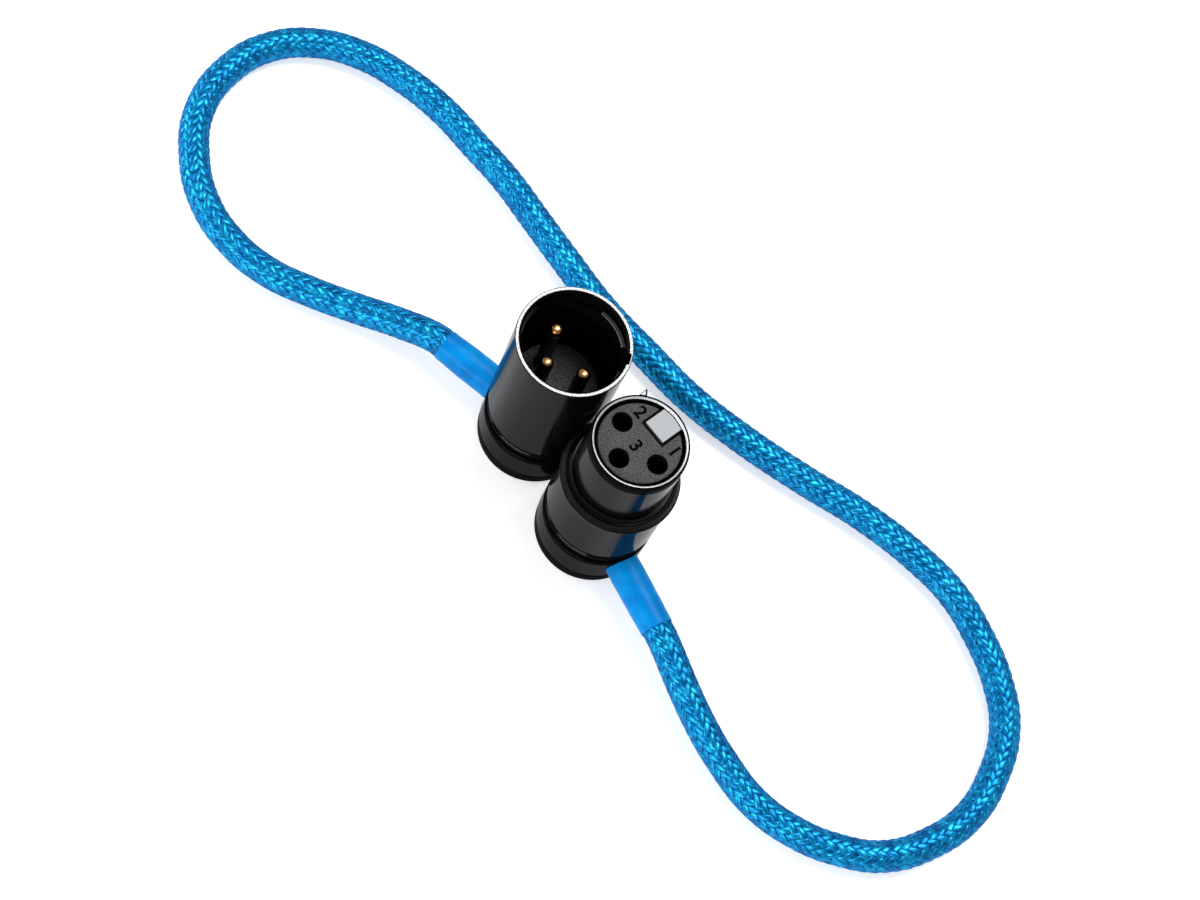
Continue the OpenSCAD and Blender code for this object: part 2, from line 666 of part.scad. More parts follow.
module female_latch_button() {
    out_x = body_r + button_out;
    inner_x = blade_out_x;
    round_r = 0.5;
    color("#141518") jack_frame(jack_turn) difference() {
        translate([inner_x, 0, button_z]) linear_extrude(button_h)
            polygon(concat([[0, -button_w / 2]],
                arc(out_x - inner_x - round_r, -button_w / 2 + round_r, round_r, -90, 0, 4),
                arc(out_x - inner_x - round_r, button_w / 2 - round_r, round_r, 0, 90, 4),
                [[0, button_w / 2]]));
        for (z = [0.3, 0.5, 0.7]) translate([out_x, 0, button_z + z * button_h])
            rotate([90, 0, 0]) cylinder(d = 0.35, h = button_w + 1, center = true);
    }
}

module female_latch_spring() {
    spring_z = button_z + button_h / 2;
    from_x = keyway_x + spring_wire_d / 2 + fine_slip;
    to_x = blade_x - spring_wire_d / 2 - fine_slip;
    steps = spring_turns * 12;
    color("#b8babd") jack_frame(jack_turn) swept_tube([for (i = [0 : steps])
        [from_x + (to_x - from_x) * i / steps, spring_r * cos(30 * i), spring_z + spring_r * sin(30 * i)]],
        spring_wire_d, 6, [1, 0, 0]);
}

module female_lock_ring() { jack_frame(0) lock_ring_solid(); }
module female_cap() { jack_frame(jack_outlet) cap_solid(); }
module female_base_plate() { jack_frame(jack_outlet) base_plate_solid(); }
module female_plate_screws() { jack_frame(jack_outlet) plate_screws_solid(); }
module female_clamp() { jack_frame(jack_outlet) clamp_solid(); }
module female_clamp_screws() { jack_frame(jack_outlet) clamp_screws_solid(); }
module female_cable_tail() { jack_frame(jack_outlet) cable_tail_solid(jack_sleeve_reach); }
module female_sleeve() { jack_frame(jack_outlet) sleeve_solid(jack_sleeve_reach); }
module female_leads() {
    jack_frame(jack_outlet)
        leads_solid(jack_lanes, [for (a = jack_angles) a + jack_turn - jack_outlet]);
}

// ---------- cord ----------

module braided_cable() {
    plug_end = concat(plug_at + along(plug_outlet, plug_sleeve_reach), outlet_z);
    jack_end = concat(jack_at + along(jack_outlet, jack_sleeve_reach), outlet_z);
    plug_out = concat(along(plug_outlet, straight_out), 0);
    jack_out = concat(along(jack_outlet, straight_out), 0);
    color("#1183c6") swept_tube(concat([plug_end, plug_end + plug_out], cord_route,
        [jack_end + jack_out, jack_end]), cable_d, cord_sides, [0, 0, 1]);
}

male_shell();
male_insert();
male_pin(0);  // male_pin_1
male_pin(1);  // male_pin_2
male_pin(2);  // male_pin_3
male_lock_ring();
male_cap();
male_base_plate();
male_plate_screws();
male_clamp();
male_clamp_screws();
male_leads();
male_cable_tail();
male_sleeve();
female_body();
female_shoulder_ring();
female_nose();
female_insert();
female_contact(0);  // female_contact_1
female_contact(1);  // female_contact_2
female_contact(2);  // female_contact_3
female_key_plate();
female_latch();
female_latch_button();
female_latch_spring();
female_lock_ring();
female_cap();
female_base_plate();
female_plate_screws();
female_clamp();
female_clamp_screws();
female_leads();
female_cable_tail();
female_sleeve();
braided_cable();
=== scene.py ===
import json
import math
import bmesh
import bpy
from mathutils import Matrix, Vector


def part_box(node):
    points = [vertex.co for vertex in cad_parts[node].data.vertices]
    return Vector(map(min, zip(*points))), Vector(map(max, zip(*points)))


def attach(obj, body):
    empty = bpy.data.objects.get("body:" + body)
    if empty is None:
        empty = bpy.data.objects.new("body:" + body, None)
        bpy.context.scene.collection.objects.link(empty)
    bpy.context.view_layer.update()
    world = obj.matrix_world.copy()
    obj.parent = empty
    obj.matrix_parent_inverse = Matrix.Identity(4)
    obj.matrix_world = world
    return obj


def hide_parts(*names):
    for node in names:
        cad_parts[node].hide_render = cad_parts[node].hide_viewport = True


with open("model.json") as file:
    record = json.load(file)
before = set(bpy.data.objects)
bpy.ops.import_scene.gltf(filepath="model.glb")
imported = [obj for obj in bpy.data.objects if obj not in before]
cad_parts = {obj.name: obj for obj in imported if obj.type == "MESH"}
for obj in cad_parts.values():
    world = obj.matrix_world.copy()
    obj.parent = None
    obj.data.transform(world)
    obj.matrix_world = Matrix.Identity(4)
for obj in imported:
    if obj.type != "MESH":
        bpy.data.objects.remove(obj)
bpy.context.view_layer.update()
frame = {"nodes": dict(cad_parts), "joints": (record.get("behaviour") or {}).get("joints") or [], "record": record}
mm = 0.001
weld = 0.0005 * mm       # corners closer than this are merged
rootBody = "cable_and_connectors"
scene = bpy.context.scene
print("frame loaded:", len(frame["nodes"]), "nodes")

# the connectors' axes, and the side of the socket connector that its key is on
mounts = {m["name"]: m for m in frame["record"]["mounts"]}
plugAxis = Vector(mounts["male_socket"]["pos_m"]).to_2d()
jackAxis = Vector(mounts["female_nose"]["pos_m"]).to_2d()
latchPress = Vector(frame["joints"][0]["axis"])
keyAngle = math.atan2(-latchPress.y, -latchPress.x)


def topOf(node):
    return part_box(node)[1].z


def sleeveLine(node, axis):
    # the straight line that an outlet sleeve lies on: direction, height and reach
    low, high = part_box(node)
    middle = (low + high) / 2
    away = (middle.to_2d() - axis).normalized()
    radius = (high.z - low.z) / 2
    farthest = max(abs((corner.to_2d() - axis).x) for corner in (low, high))
    reach = (farthest - radius * abs(away.y)) / abs(away.x)
    return {"axis": axis, "away": away, "z": middle.z, "radius": radius, "reach": reach}


def outletPoint(outlet, distance):
    flat = outlet["axis"] + outlet["away"] * distance
    return Vector((flat.x, flat.y, outlet["z"]))


plugOutlet = sleeveLine("male_sleeve", plugAxis)
jackOutlet = sleeveLine("female_sleeve", jackAxis)

cameraView = {
    "target": (0.0035, 0.0085, 0.0),
    "distance": 0.398,
    "tilt": 25.03,           # degrees from straight down
    "roll": 29.65,
    "lens": 69.73,
    "sensor": 36,
    "nearest": 0.01,
}


def addCamera():
    data = bpy.data.cameras.new("viewCamera")
    data.lens = cameraView["lens"]
    data.sensor_width = cameraView["sensor"]
    data.clip_start = cameraView["nearest"]
    camera = bpy.data.objects.new("viewCamera", data)
    tilt = Matrix.Rotation(math.radians(cameraView["tilt"]), 4, "X")
    roll = Matrix.Rotation(math.radians(cameraView["roll"]), 4, "Z")
    place = Vector(cameraView["target"]) + tilt @ Vector((0, 0, cameraView["distance"]))
    camera.matrix_world = Matrix.Translation(place) @ tilt @ roll
    scene.collection.objects.link(camera)
    scene.camera = camera


addCamera()
print("camera placed")


class Value:
    # an output socket; an expression on it adds the Math nodes that it needs
    def __init__(self, graph, socket):
        self.graph = graph
        self.socket = socket

    def math(self, operation, *others):
        return self.graph.node("ShaderNodeMath", {"operation": operation},
                               dict(enumerate((self, *others))))

    def __add__(self, other):
        return self.math("ADD", other)

    def __mul__(self, other):
        return self.math("MULTIPLY", other)

    def __sub__(self, other):
        return self.math("SUBTRACT", other)

    def __rsub__(self, other):
        return (self * -1).math("ADD", other)

    def __gt__(self, other):
        return self.math("GREATER_THAN", other)

    def __lt__(self, other):
        return self.math("LESS_THAN", other)

    __radd__ = __add__
    __rmul__ = __mul__

    def orElse(self, other):
        return self.math("MAXIMUM", other)

    def between(self, low, high):
        return (self > low) * (self < high)

    def vary(self, middle, amount):
        # noise from 0 to 1 as a value that varies by the amount about the middle
        return middle + amount * (self - 0.5)


class Graph:
    # the nodes of a material or of the world, with its shader ready
    def __init__(self, owner, shader, sockets):
        owner.use_nodes = True
        self.owner = owner
        self.tree = owner.node_tree
        self.shader = self.tree.nodes[shader]
        self.fill(self.shader, sockets)

    def fill(self, node, sockets):
        for key, value in sockets.items():
            if isinstance(value, Value):
                self.tree.links.new(value.socket, node.inputs[key])
            else:
                node.inputs[key].default_value = value

    def finish(self, sockets):
        self.fill(self.shader, sockets)
        return self.owner

    def node(self, kind, settings=None, sockets=None, output=0):
        made = self.tree.nodes.new(kind)
        for key, value in (settings or {}).items():
            setattr(made, key, value)
        self.fill(made, sockets or {})
        return Value(self, made.outputs[output])

    def ramp(self, factor, stops):
        # stops are (place, colour) pairs from 0 to 1
        made = self.node("ShaderNodeValToRGB", None, {"Fac": factor})
        elements = made.socket.node.color_ramp.elements
        while len(elements) < len(stops):
            elements.new(0.5)
        for element, (place, colour) in zip(elements, stops):
            element.position = place
            element.color = colour
        return made

    def noise(self, vector, scale, detail=3.0, roughness=0.5):
        return self.node("ShaderNodeTexNoise", None,
                         {"Vector": vector, "Scale": scale, "Detail": detail,
                          "Roughness": roughness})

    def blend(self, factor, a, b):
        # a Mix node's colours are its sockets 6 and 7, and its output 2
        return self.node("ShaderNodeMix", {"data_type": "RGBA"}, {0: factor, 6: a, 7: b}, output=2)

    def step(self, value, low, high):
        # 0 below low, 1 above high, smooth between
        return self.node("ShaderNodeMapRange", {"interpolation_type": "SMOOTHSTEP"},
                         {0: value, 1: low, 2: high})

    def bump(self, height, distance, strength=1.0):
        return self.node("ShaderNodeBump", None,
                         {"Strength": strength, "Distance": distance, "Height": height})

    def rays(self):
        # what sees the surface: the camera, a reflection, or a look through glass
        made = self.node("ShaderNodeLightPath").socket.node
        return [Value(self, made.outputs[name])
                for name in ("Is Camera Ray", "Is Glossy Ray", "Is Transmission Ray")]

    def coords(self, kind="Object"):
        return self.node("ShaderNodeTexCoord", output=kind)

    def xyz(self, vector):
        split = self.node("ShaderNodeSeparateXYZ", None, {0: vector}).socket.node
        return [Value(self, out) for out in split.outputs]

    def height(self):
        return self.xyz(self.coords())[2]

    def offset(self, axis):
        x, y = self.xyz(self.coords())[:2]
        return x - axis.x, y - axis.y

    def radius(self, axis):
        dx, dy = self.offset(axis)
        return (dx * dx + dy * dy).math("SQRT")

    def keyed(self, axis, angle=keyAngle):
        # how far a place is from the axis, toward the key and across that
        dx, dy = self.offset(axis)
        return (dx * math.cos(angle) + dy * math.sin(angle),
                dy * math.cos(angle) - dx * math.sin(angle))


def newMaterial(name, sockets):
    return Graph(bpy.data.materials.new(name), "Principled BSDF", sockets)


def rgb(red, green, blue):
    # a colour as a screen shows it, 0 to 255, as Blender's linear one
    def linear(c):
        c = c / 255
        return c / 12.92 if c <= 0.04045 else ((c + 0.055) / 1.055) ** 2.4
    return (linear(red), linear(green), linear(blue), 1.0)


def anyOf(g, areas):
    # each area is a function that gives 1 where it lies and 0 elsewhere
    mask = g.node("ShaderNodeValue")
    for area in areas:
        mask = mask.orElse(area(g))
    return mask


shellLook = {
    "black": rgb(6, 6, 7),
    "cloud": rgb(10, 10, 12),
    "cloudScale": 90.0,                 # scales are per metre
    "roughness": (0.18, 0.08),          # of the lacquer, and what the grain adds
    "gloss": (0.94, 0.12),              # of its clear coat, and what the grain adds
    "glossIor": 1.13,
    "glossRoughness": 0.14,
    "dulling": 0.85,                    # share of the gloss that a dull area loses
    # bare metal colours, also used for the painted highlights on the rib end and the window's edge
    "bareDark": rgb(166, 168, 171),
    "bareClean": rgb(198, 200, 202),    # in place of bareDark where the cut is cleaner
    "bare": rgb(226, 227, 229),
    "bareRoughness": 0.72,
    "cutScale": 5200.0,
    "cutRange": (0.3, 0.62),
    "grain": 2600.0,
    "grainDepth": 0.008 * mm,
}


def shellFinish(name, gloss=1.0, bareAndHighlightAreas=(), dullAreas=(), bareAndHighlightTone="bareDark"):
    # glossy black lacquer, bare metal in the bare areas, which also carry painted highlights, less gloss in the
    # dull ones
    look = shellLook
    g = newMaterial(name, {"Specular IOR Level": 0.0, "Coat IOR": look["glossIor"],
                           "Coat Roughness": look["glossRoughness"]})
    spot = g.coords()
    grain = g.noise(spot, look["grain"], 4)
    lacquer = g.blend(g.noise(spot, look["cloudScale"], 2), look["black"], look["cloud"])
    cut = g.step(g.noise(spot, look["cutScale"], 2), *look["cutRange"])
    metal = g.blend(cut, look[bareAndHighlightTone], look["bare"])
    bare = anyOf(g, bareAndHighlightAreas)
    covered = 1 - bare
    shine = gloss * covered * (1 - anyOf(g, dullAreas) * look["dulling"])
    return g.finish({
        "Base Color": g.blend(bare, lacquer, metal),
        "Roughness": covered * (look["roughness"][0] + look["roughness"][1] * grain)
        + bare * cut.vary(look["bareRoughness"], -0.2),
        "Metallic": bare,
        "Coat Weight": shine * (look["gloss"][0] + look["gloss"][1] * grain),
        "Normal": g.bump(grain, look["grainDepth"], 0.3)})


shoulder = {
    "slope": (9.05 * mm, 9.86 * mm),      # radii between which the ring is grained
    "dark": rgb(2, 2, 3),
    "light": rgb(20, 20, 21),
    "speckle": (0.42, 0.66),
    "roughness": (0.2, 0.16),             # of the ring, and what the slope adds
    "gloss": (0.8, 0.7),                  # of the ring, and what the slope loses
    "grainSize": 0.36 * mm,
    "grainDepth": 0.26 * mm,
}


def shoulderFinish(name):
    g = newMaterial(name, {"Specular IOR Level": 0.05, "Coat IOR": shellLook["glossIor"],
                           "Coat Roughness": 0.1})
    slope = g.radius(jackAxis).between(*shoulder["slope"])
    grain = g.noise(g.coords(), 1 / shoulder["grainSize"], 3, 0.7)
    speckle = g.step(grain, *shoulder["speckle"])
    return g.finish({
        "Base Color": g.blend(slope * speckle, shoulder["dark"], shoulder["light"]),
        "Roughness": shoulder["roughness"][0] + shoulder["roughness"][1] * slope,
        "Coat Weight": shoulder["gloss"][0] - slope * shoulder["gloss"][1],
        "Normal": g.bump(grain * slope, shoulder["grainDepth"])})


buttonLook = {
    "dark": rgb(18, 18, 19),
    "light": rgb(30, 30, 32),
    "speckle": (0.38, 0.66),
    "roughness": 0.5,
    "grainSize": 0.2 * mm,
    "grainDepth": 0.02 * mm,
}


def buttonFinish(name):
    g = newMaterial(name, {"Specular IOR Level": 0.15})
    grain = g.noise(g.coords(), 1 / buttonLook["grainSize"], 3, 0.7)
    speckle = g.step(grain, *buttonLook["speckle"])
    return g.finish({"Base Color": g.blend(speckle, buttonLook["dark"], buttonLook["light"]),
                     "Roughness": speckle.vary(buttonLook["roughness"], -0.2),
                     "Normal": g.bump(grain, buttonLook["grainDepth"], 0.8)})


insertLook = {
    "dark": rgb(50, 50, 52),
    "light": rgb(92, 92, 95),
    # painted shade for the holes and the engraved numbers
    "recessShade": rgb(3, 3, 4),
    "recessDepth": 0.1 * mm,       # a place counts as a recess from this far below the face
    "speckle": (0.36, 0.66),
    "roughness": (0.6, 0.4),       # of the face, and what a recess adds
    "grainSize": 0.22 * mm,
    "grainDepth": 0.03 * mm,
    # the painted shade round the key plate's edge starts here, ahead of the axis and to each side
    "keyEdgeShade": (2.35 * mm, 2.55 * mm),
}


def keyEdgeShadeArea(g):
    ahead, aside = g.keyed(jackAxis)
    start, half = insertLook["keyEdgeShade"]
    return (ahead > start) * aside.between(-half, half)


def insertFinish(name, faceZ, shadeAreas=()):
    # grained face, with painted shade: near black in the holes, in the numbers below it and in the shade areas
    look = insertLook
    g = newMaterial(name, {"Specular IOR Level": 0.12})
    grain = g.noise(g.coords(), 1 / look["grainSize"], 3, 0.7)
    speckle = g.step(grain, *look["speckle"])
    # painted shade: near black below the face and in the shade areas
    recessShade = (g.height() < faceZ - look["recessDepth"]).orElse(anyOf(g, shadeAreas))
    face = g.blend(speckle, look["dark"], look["light"])
    return g.finish({
        "Base Color": g.blend(recessShade, face, look["recessShade"]),
        "Roughness": speckle.vary(look["roughness"][0], -0.2) + look["roughness"][1] * recessShade,
        "Normal": g.bump(grain, look["grainDepth"], 0.8)})


metalLook = {
    "uneven": 0.16,                 # how much the grain varies the roughness
    "grainDepth": 0.006 * mm,
    "grainStrength": 0.5,
}


def metalFinish(name, dark, light, roughness, grainSize, stretch=(1, 1, 1), turn=0.0):
    # stretch and turn draw the grain out into lines
    g = newMaterial(name, {"Metallic": 1.0})
    spot = g.node("ShaderNodeMapping", None,
                  {"Vector": g.coords(), "Scale": stretch, "Rotation": (0, 0, turn)})
    grain = g.noise(spot, 1 / grainSize, 3, 0.6)
    return g.finish({"Base Color": g.blend(grain, dark, light),
                     "Roughness": grain.vary(roughness, metalLook["uneven"]),
                     "Normal": g.bump(grain, metalLook["grainDepth"], metalLook["grainStrength"])})


pinLook = {
    "dark": rgb(150, 98, 58),
    "light": rgb(206, 156, 108),
    "shaftShade": rgb(46, 32, 22),       # painted shade: the shaft below the tip is darkened, as if in the socket's shade
    "tip": 1.6 * mm,                # height of the gold
    "fade": 0.3 * mm,               # height over which it ends
    "uneven": 0.4 * mm,             # how far the grain moves that end
    "roughness": 0.18,
    "shaftRoughness": 0.12,         # added below the tip
    "roughnessRange": 0.14,
    "grain": 3300.0,
}


def pinFinish(name, topZ):
    look = pinLook
    g = newMaterial(name, {"Metallic": 1.0})
    grain = g.noise(g.coords(), look["grain"], 3, 0.6)
    tip = g.step(g.height() + look["uneven"] * (grain - 0.5),
                 topZ - look["tip"] - look["fade"], topZ - look["tip"])
    gold = g.blend(grain, look["dark"], look["light"])
    return g.finish({
        # the gold tip, and below it the shaft in painted shade
        "Base Color": g.blend(tip, look["shaftShade"], gold),
        "Roughness": grain.vary(look["roughness"], look["roughnessRange"])
        + look["shaftRoughness"] * (1 - tip),
        "Normal": g.bump(grain, metalLook["grainDepth"], metalLook["grainStrength"])})


sleeveLook = {
    "deep": rgb(0, 118, 198),
    "light": rgb(0, 144, 222),
    "cloudScale": 260.0,
    "cloudRange": (0.3, 0.72),
    "skinScale": 2400.0,
    "skinDepth": 0.02 * mm,
    "cloudBump": 2.5,               # how much higher the clouds stand than the skin's grain
    "roughness": 0.34,
    "roughnessRange": 0.12,
}


def sleeveFinish(name):
    look = sleeveLook
    g = newMaterial(name, {"Specular IOR Level": 0.08})
    spot = g.coords()
    cloud = g.step(g.noise(spot, look["cloudScale"], 3), *look["cloudRange"])
    skin = g.noise(spot, look["skinScale"], 3)
    return g.finish({"Base Color": g.blend(cloud, look["deep"], look["light"]),
                     "Roughness": skin.vary(look["roughness"], look["roughnessRange"]),
                     "Normal": g.bump(skin + look["cloudBump"] * cloud, look["skinDepth"], 0.4)})


braidLook = {
    "shades": [(0.3, rgb(0, 64, 112)), (0.5, rgb(0, 122, 184)), (0.72, rgb(44, 206, 242))],
    "metallic": 0.85,
    "edgeTint": rgb(30, 150, 215),
    "roughness": 0.38,
    "roughnessRange": 0.2,
    "sheen": 0.16,            # weight of the clear gloss over the filaments
    "filaments": 9.0,         # lines across one strand
    "alongStrand": 1.2,       # how often a line changes along a strand, per cord radius
    "threadShare": 0.55,      # of the shade; the rest is cloudy patches
    "patchScale": 900.0,
    "threadDepth": 0.05 * mm,
}


def braidFinish(name):
    # UV runs along the strand in U and once round its section in V
    look = braidLook
    g = newMaterial(name, {"Metallic": look["metallic"], "Specular IOR Level": 0.3,
                           "Specular Tint": look["edgeTint"], "Coat Weight": look["sheen"],
                           "Coat Roughness": 0.25})
    u, v = g.xyz(g.coords("UV"))[:2]
    lines = g.node("ShaderNodeCombineXYZ", None,
                   {0: u * look["alongStrand"], 1: v * (2 * look["filaments"])})
    thread = g.noise(lines, 1.0, 2, 0.55)
    patch = g.noise(g.coords(), look["patchScale"], 2)
    share = look["threadShare"]
    return g.finish({"Base Color": g.ramp(share * thread + (1 - share) * patch, look["shades"]),
                     "Roughness": thread.vary(look["roughness"], look["roughnessRange"]),
                     "Normal": g.bump(thread, look["threadDepth"], 0.7)})


plainLook = {
    "cloudScale": 700.0,
    "cloudShade": 0.7,              # share of the colour that the dark clouds keep
    "roughnessRange": 0.1,
}


def plainFinish(name, colour, roughness):
    # for what is seen only through gaps: a cloudy colour
    g = newMaterial(name, {"Specular IOR Level": 0.3})
    cloud = g.noise(g.coords(), plainLook["cloudScale"], 2)
    darker = tuple(c * plainLook["cloudShade"] for c in colour[:3]) + (1.0,)
    return g.finish({"Base Color": g.blend(cloud, darker, colour),
                     "Roughness": cloud.vary(roughness, plainLook["roughnessRange"])})


rim = {
    "bare": (8.9 * mm, 9.35 * mm),       # radii of the bright ring
    "mouth": 1.05 * mm,                  # the lacquer is dull from the rim down to here
    "z": topOf("male_shell") - 0.03 * mm,
}
latchWindow = {
    "edge": (8.15 * mm, 8.38 * mm),      # painted highlight: bright bare metal along the window's lower edge, where light catches the ledge
    "edgeShine": 0.8,
    "pocket": (8.46 * mm, 8.8 * mm),     # the pocket's floor is grey
    "pocketShine": 0.15,
    "z": (topOf("male_shell") - 3.05 * mm, topOf("male_shell") - 2.8 * mm),
    "turn": keyAngle - math.radians(9),      # the plug is turned by this much from the other
    "halfAngle": math.radians(23),
}
noseFront = {
    "ring": (7.3 * mm, 7.56 * mm),
    "ringCentre": jackAxis - Vector((0, 0.12 * mm)),      # the bright cut is a little off centre
    "keyHalf": 2.15 * mm,      # beside the key plate the inner bevel is bare as well
    "ringZ": topOf("female_nose") - 0.45 * mm,
    "dullZ": topOf("female_nose") - 2.2 * mm,
}
ribEnd = {
    "turn": keyAngle + math.radians(45),
    "z": topOf("female_nose") - 1.2 * mm,
    "facing": 0.7,             # only what faces upward more than this
    "foot": 8.08 * mm,         # where the end face's bare patch starts, from the nose's axis
    "side": -0.16 * mm,        # and where it ends, across the rib
    "corner": Vector((7.956, 0.836)) * mm,      # where the rib's slanted side meets the nose
    "slope": Vector((0.657, 0.754)),            # across that side
    "line": 0.12 * mm,         # black line left along it
}
neck = {
    "grooves": (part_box("male_lock_ring")[0].z - 2.1 * mm, topOf("male_lock_ring") + 1.3 * mm),
    # the lock rings' upper bevel shines
    "bevel": (topOf("male_lock_ring") - 0.2 * mm, topOf("male_lock_ring") - 0.01 * mm),
    "foot": 3.1 * mm,
}


def rimArea(g):
    return g.radius(plugAxis).between(*rim["bare"]) * (g.height() > rim["z"])


def mouthArea(g):
    return (g.radius(plugAxis) < rim["bare"][0]) * (g.height() > rim["z"] - rim["mouth"])


def windowArea(g):
    distance = g.radius(plugAxis)
    along = g.keyed(plugAxis, latchWindow["turn"])[0]
    inside = (along > distance * math.cos(latchWindow["halfAngle"])) \
        * g.height().between(*latchWindow["z"])
    return inside * (distance.between(*latchWindow["edge"]) * latchWindow["edgeShine"]
                     + distance.between(*latchWindow["pocket"]) * latchWindow["pocketShine"])


def noseRingArea(g):
    ahead, aside = g.keyed(jackAxis)
    keyway = (ahead > 0) * aside.between(-noseFront["keyHalf"], noseFront["keyHalf"])
    distance = g.radius(noseFront["ringCentre"])
    inner, outer = noseFront["ring"]
    ring = (distance > inner).orElse(keyway) * (distance < outer)
    return ring * (g.height() > noseFront["ringZ"])


def noseDullArea(g):
    return g.height() > noseFront["dullZ"]


def ribEndHighlightArea(g):
    # painted highlight: the guide rib's upward end face is bright bare metal, standing in for a lamp's reflection,
    # within a black line
    ahead, aside = g.keyed(jackAxis, ribEnd["turn"])
    slant = (ahead - ribEnd["corner"].x) * ribEnd["slope"].x \
        + (aside - ribEnd["corner"].y) * ribEnd["slope"].y
    upward = g.xyz(g.coords("Normal"))[2] > ribEnd["facing"]
    patch = (ahead > ribEnd["foot"]) * (aside > ribEnd["side"]) * (slant < -ribEnd["line"])
    return patch * upward * (g.height() > ribEnd["z"])


def neckArea(g):
    # dull round the grooves, but for the lock ring's bevel, and at the foot
    z = g.height()
    grooves = z.between(*neck["grooves"]) * (1 - z.between(*neck["bevel"]))
    return grooves.orElse(z < neck["foot"])


def dress(material, *names):
    for name in names:
        mesh = frame["nodes"][name].data
        mesh.materials.clear()
        mesh.materials.append(material)


def dressConnectors():
    dress(shellFinish("plugShellBlack", bareAndHighlightAreas=[rimArea, windowArea],
                      dullAreas=[mouthArea, neckArea]), "male_shell")
    dress(shellFinish("noseBlack", bareAndHighlightAreas=[noseRingArea, ribEndHighlightArea],
                      dullAreas=[noseDullArea], bareAndHighlightTone="bareClean"), "female_nose")
    dress(shellFinish("bodyBlack", dullAreas=[neckArea]),
          "female_body", "male_lock_ring", "female_lock_ring")
    dress(shellFinish("capBlack", 0.7, dullAreas=[neckArea]), "male_cap", "female_cap")
    dress(shellFinish("plateBlack", 0.2), "male_base_plate", "female_base_plate")
    dress(shoulderFinish("shoulderBlack"), "female_shoulder_ring")
    dress(insertFinish("plugInsertPlastic", 0.0), "male_insert")
    dress(insertFinish("jackInsertPlastic", topOf("female_insert"), [keyEdgeShadeArea]),
          "female_insert")
    dress(buttonFinish("buttonPlastic"), "female_latch_button")
    dress(pinFinish("goldPin", topOf("male_pin_1")), "male_pin_1", "male_pin_2", "male_pin_3")
    # painted shade: the contacts down in the holes are near black brass in place of their gold
    dress(metalFinish("shadedContact", rgb(26, 18, 13), rgb(60, 44, 32), 0.4, 0.3 * mm),
          "female_contact_1", "female_contact_2", "female_contact_3")
    dress(metalFinish("brightSteel", rgb(116, 118, 120), rgb(194, 196, 198), 0.66, 0.1 * mm,
                      (1, 4, 1), keyAngle),
          "female_key_plate", "female_latch", "female_latch_spring", "male_clamp",
          "male_clamp_screws", "female_clamp", "female_clamp_screws")
    dress(metalFinish("screwBlack", rgb(30, 30, 32), rgb(48, 48, 50), 0.4, 0.12 * mm),
          "male_plate_screws", "female_plate_screws")
    dress(plainFinish("leadInsulation", rgb(205, 200, 190), 0.4), "male_leads", "female_leads")
    dress(plainFinish("cableJacket", rgb(0, 70, 120), 0.6),
          "male_cable_tail", "female_cable_tail")


dressConnectors()
print("CAD nodes finished")

cord = {
    "diameter": 5.4 * mm,
    "tuck": 2.5 * mm,            # how far the braid goes into each sleeve
    "carriers": 24,              # half of them wind each way
    "pitch": 21.2 * mm,
    "strandHalfWidth": 0.6 * mm,
    "strandHalfHeight": 0.16 * mm,
    "weaveLift": 0.15 * mm,      # how far a strand moves in and out as it crosses others
    "weaveGain": 1.25,           # above 1, a strand lies flat for a while on top and below
    "ringsPerCrossing": 2,
    "sectionSides": 8,
    "coreRing": 1.5 * mm,        # distance between the core's rings
    "coreSides": 16,
    "lineSteps": 16,             # points between two of the route's
    "straightOut": 1.5 * mm,     # the cord leaves each sleeve straight for this far
    # the floor route in millimetres, from the plug's sleeve to the other one
    "route": [
        (-36.5, 8.5, 4.6), (-44.5, 7.5, 3.1), (-52.5, 6.2, 2.7), (-60.5, 5.5, 2.7),
        (-68.5, 7, 2.7), (-76, 11, 2.7), (-82, 17.5, 2.7), (-86, 26, 2.7),
        (-86, 35.5, 2.7), (-82.5, 43.5, 2.7), (-76, 49, 2.7), (-68, 51.5, 2.7),
        (-59.5, 51.5, 2.7), (-51, 50, 2.7), (-42.5, 47, 2.7), (-34.5, 44, 2.7),
        (-26.5, 40, 2.7), (-18.5, 36, 2.7), (-8, 31, 2.7), (2.5, 27.5, 2.7),
        (12, 24.5, 2.7), (24, 22.5, 2.7), (36.5, 21.5, 2.7), (49, 21, 2.7),
        (61, 19, 2.7), (68.5, 16.5, 2.7), (75.5, 12, 2.7), (81.5, 6.5, 2.7),
        (86, -0.5, 2.7), (87.5, -9, 2.7), (86.5, -17.5, 2.7), (82.5, -25, 2.7),
        (76.5, -31, 2.7), (69, -34, 2.7), (61.5, -35, 2.7), (53.5, -34, 2.7),
        (46.3, -31, 3.2), (39.5, -27.3, 4.5)],
}


def cordLine():
    # a dense smooth line through the route, from inside one sleeve to inside the other
    ends = (-cord["tuck"], 0.0, cord["straightOut"])
    points = [outletPoint(plugOutlet, plugOutlet["reach"] + d) for d in ends]
    points += [Vector(p) * mm for p in cord["route"]]
    points += [outletPoint(jackOutlet, jackOutlet["reach"] + d) for d in reversed(ends)]
    data = bpy.data.curves.new("cordGuide", "CURVE")
    data.dimensions = "3D"
    data.resolution_u = cord["lineSteps"]
    spline = data.splines.new("BEZIER")
    spline.bezier_points.add(len(points) - 1)
    for handle, point in zip(spline.bezier_points, points):
        handle.co = point
        handle.handle_left_type = handle.handle_right_type = "AUTO"
    guide = bpy.data.objects.new("cordGuide", data)
    scene.collection.objects.link(guide)
    bpy.context.view_layer.update()
    mesh = guide.to_mesh()
    line = [v.co.copy() for v in mesh.vertices]
    guide.to_mesh_clear()
    bpy.data.objects.remove(guide)
    bpy.data.curves.remove(data)
    return line


